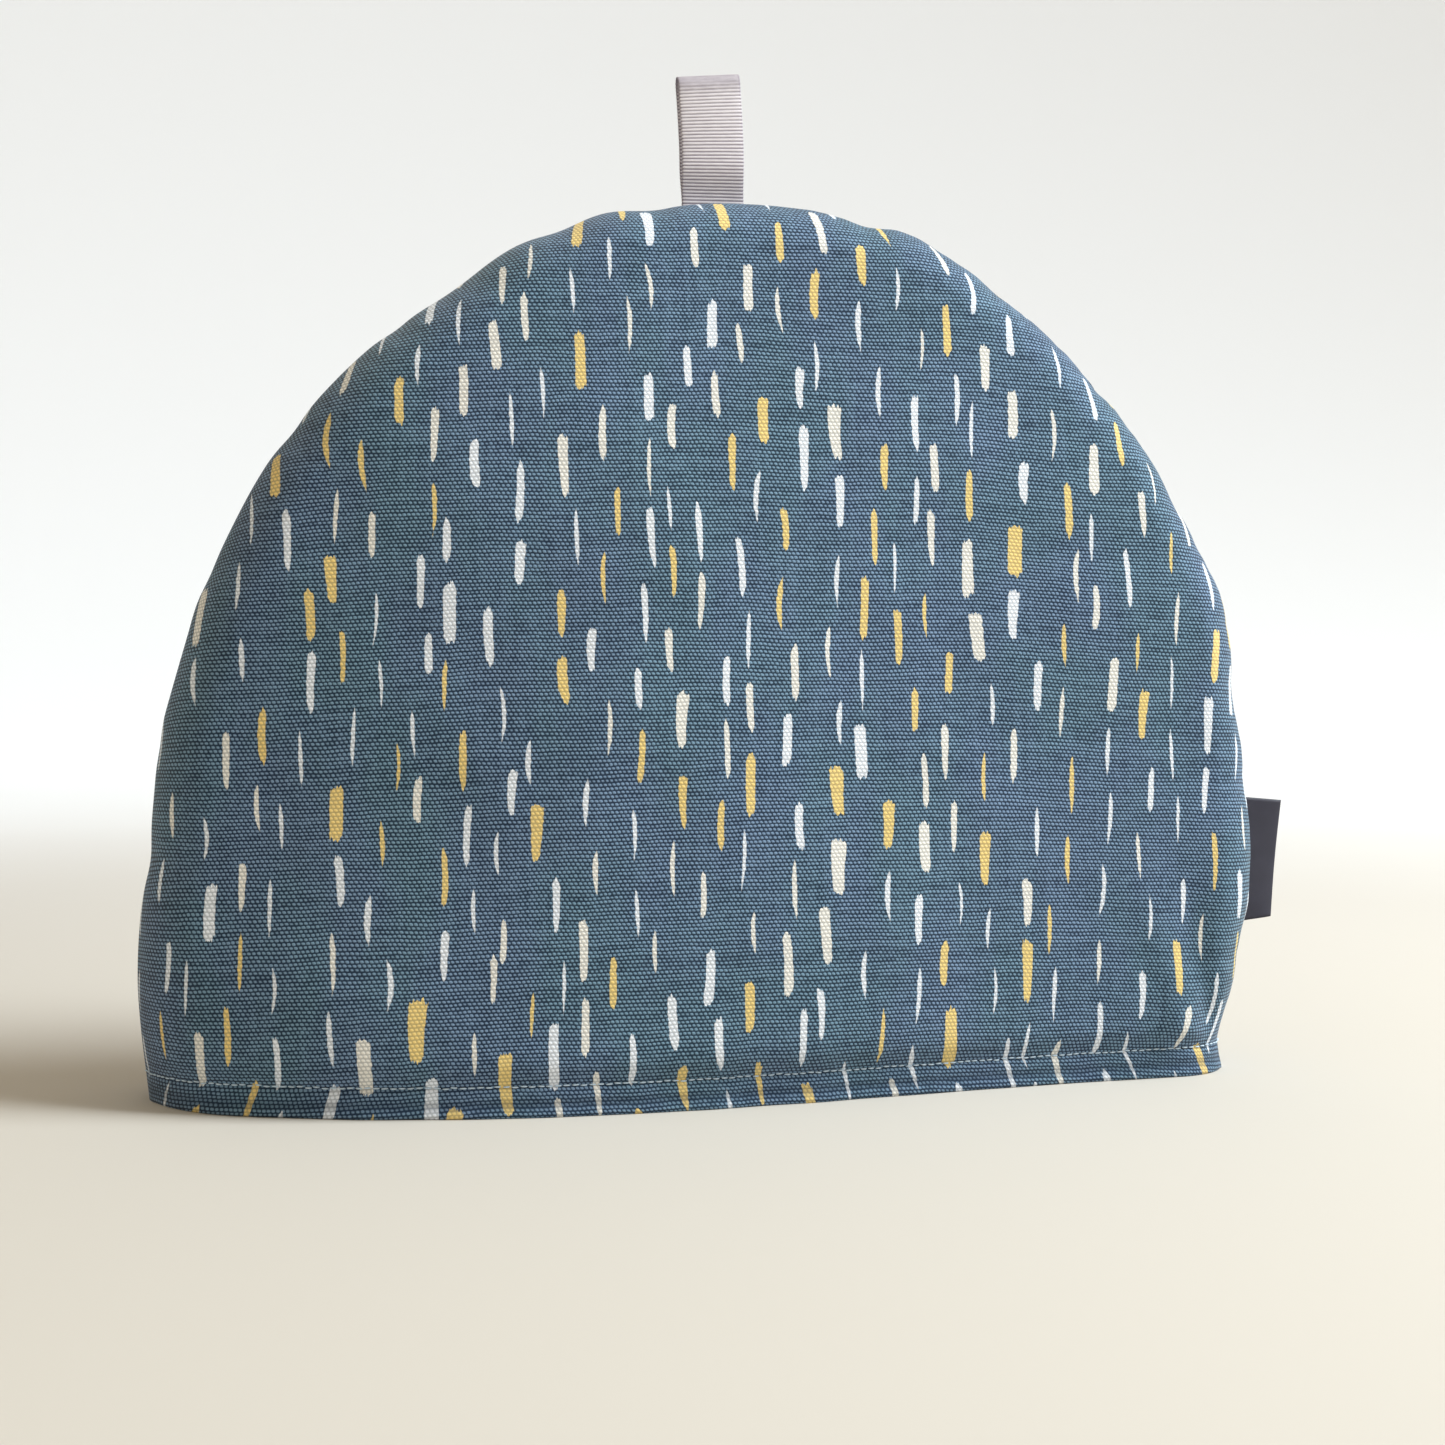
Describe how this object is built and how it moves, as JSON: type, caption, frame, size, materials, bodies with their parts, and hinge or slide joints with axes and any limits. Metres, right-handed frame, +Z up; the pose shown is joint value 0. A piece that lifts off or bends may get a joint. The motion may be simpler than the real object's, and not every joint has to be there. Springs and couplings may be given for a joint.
{
  "type": "tea cosy",
  "caption": "Padded dome-shaped fabric cover that slips over a teapot to keep it warm, open along the hem, with a ribbon loop at the crown to lift or hang it.",
  "frame": {"origin": "bottom centre of the bounding box, on the surface that the hem stands on, in the plane of the side seams", "axes": "+X along the cover's width, towards the side with the sewn-in tab; the front faces -Y; +Z up to the crown and its loop"},
  "size_m": [0.3637, 0.112, 0.314],
  "materials": {
    "printed_cloth": "slate-blue half-panama weave with short brush dashes in pale blue-white, stone and mustard",
    "grosgrain": "grey-mauve ribbed ribbon",
    "woven_tab": "charcoal satin weave, bare"
  },
  "bodies": {
    "root": {"front_panel": "printed_cloth", "back_panel": "printed_cloth", "ribbon_loop": "grosgrain", "side_label": "woven_tab"}
  },
  "joints": []
}
